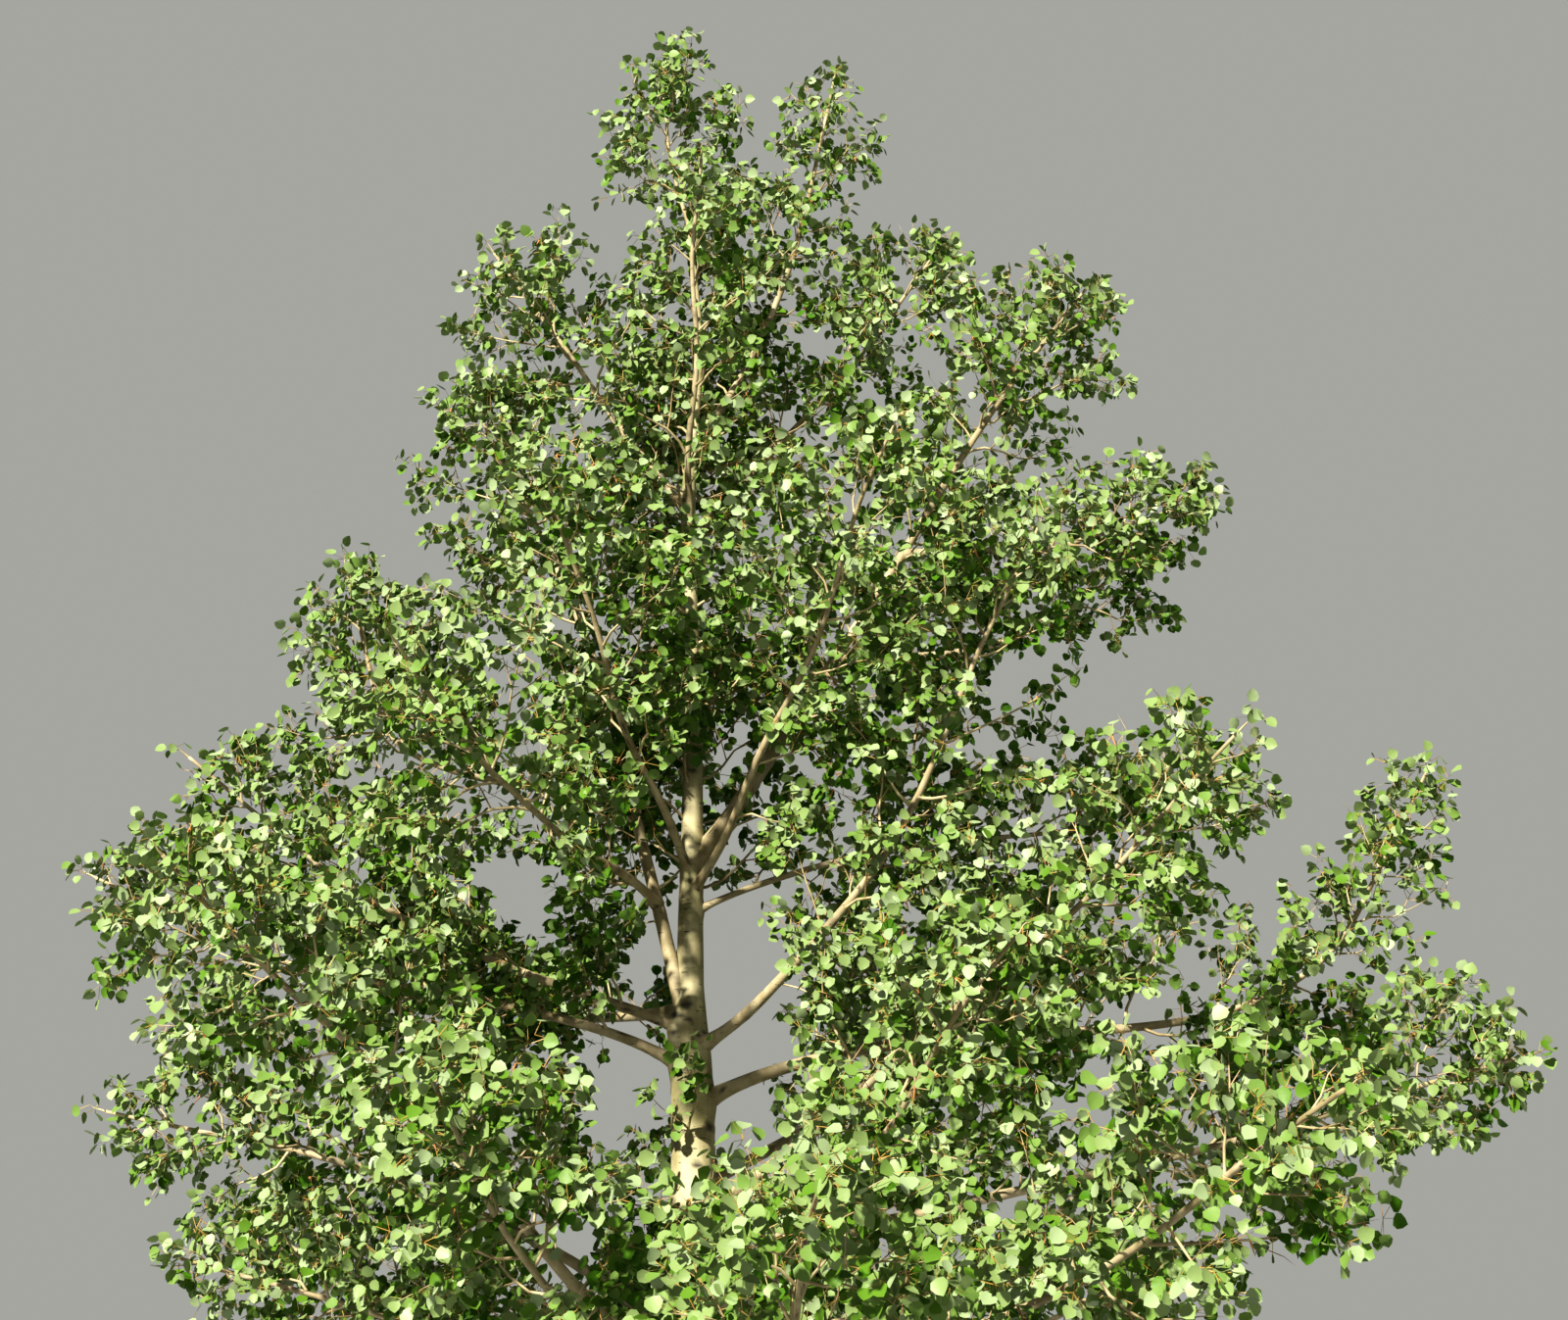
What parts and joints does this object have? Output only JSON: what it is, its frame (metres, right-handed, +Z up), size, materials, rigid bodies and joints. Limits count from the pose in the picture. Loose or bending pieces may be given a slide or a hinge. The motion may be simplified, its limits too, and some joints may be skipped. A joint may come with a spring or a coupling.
{
  "type": "quaking aspen poplar tree",
  "caption": "Young open-grown quaking aspen poplar in summer leaf: pale flared trunk, second stem, rising boughs and airy masses of leafy twigs.",
  "frame": {"origin": "middle of the flat cut under the trunk, at ground level", "axes": "+Z up along the trunk, +X to the right and +Y away from a viewer who sees the tree as the picture does"},
  "size_m": [4.2712, 4.3204, 6.9566],
  "materials": {
    "bark": "smooth matt bark, cream to greenish tan, with dark pores and branch scars",
    "foliage": "satin, yellow-green in the sun and blue-green in the shade"
  },
  "bodies": {
    "root": {"trunk": "bark", "bough_left_stem": "bark", "bough_big_right": "bark", "bough_left_fork": "bark", "bough_left_middle": "bark", "bough_left_low": "bark", "bough_left_bottom": "bark", "bough_front_left": "bark", "bough_front_left_low": "bark", "bough_front_left_bottom": "bark", "bough_front_bottom": "bark", "bough_front_low": "bark", "bough_front_right": "bark", "bough_front_right_middle": "bark", "bough_front_right_bottom": "bark", "bough_right_spur": "bark", "bough_right_middle": "bark", "bough_right_low": "bark", "bough_far_right_high": "bark", "bough_far_right_low": "bark", "bough_right_leader": "bark", "bough_back_left": "bark", "bough_back_right": "bark", "bough_back_left_low": "bark", "bough_back_low": "bark", "bough_back_right_low": "bark", "leaves_left_stem": "foliage", "leaves_big_right": "foliage", "leaves_left_fork": "foliage", "leaves_left_middle": "foliage", "leaves_left_low": "foliage", "leaves_left_bottom": "foliage", "leaves_front_left": "foliage", "leaves_front_left_low": "foliage", "leaves_front_left_bottom": "foliage", "leaves_front_bottom": "foliage", "leaves_front_low": "foliage", "leaves_front_right": "foliage", "leaves_front_right_middle": "foliage", "leaves_front_right_bottom": "foliage", "leaves_right_spur": "foliage", "leaves_right_middle": "foliage", "leaves_right_low": "foliage", "leaves_far_right_high": "foliage", "leaves_far_right_low": "foliage", "leaves_right_leader": "foliage", "leaves_back_left": "foliage", "leaves_back_right": "foliage", "leaves_back_left_low": "foliage", "leaves_back_low": "foliage", "leaves_back_right_low": "foliage", "leaves_tip": "foliage", "leaves_upper_left": "foliage", "leaves_upper_right": "foliage", "leaves_upper_front": "foliage", "leaves_upper_back": "foliage", "leaves_front_high_left": "foliage", "leaves_front_high_right": "foliage", "leaves_back_high": "foliage", "leaves_left_lowest": "foliage"}
  },
  "joints": []
}
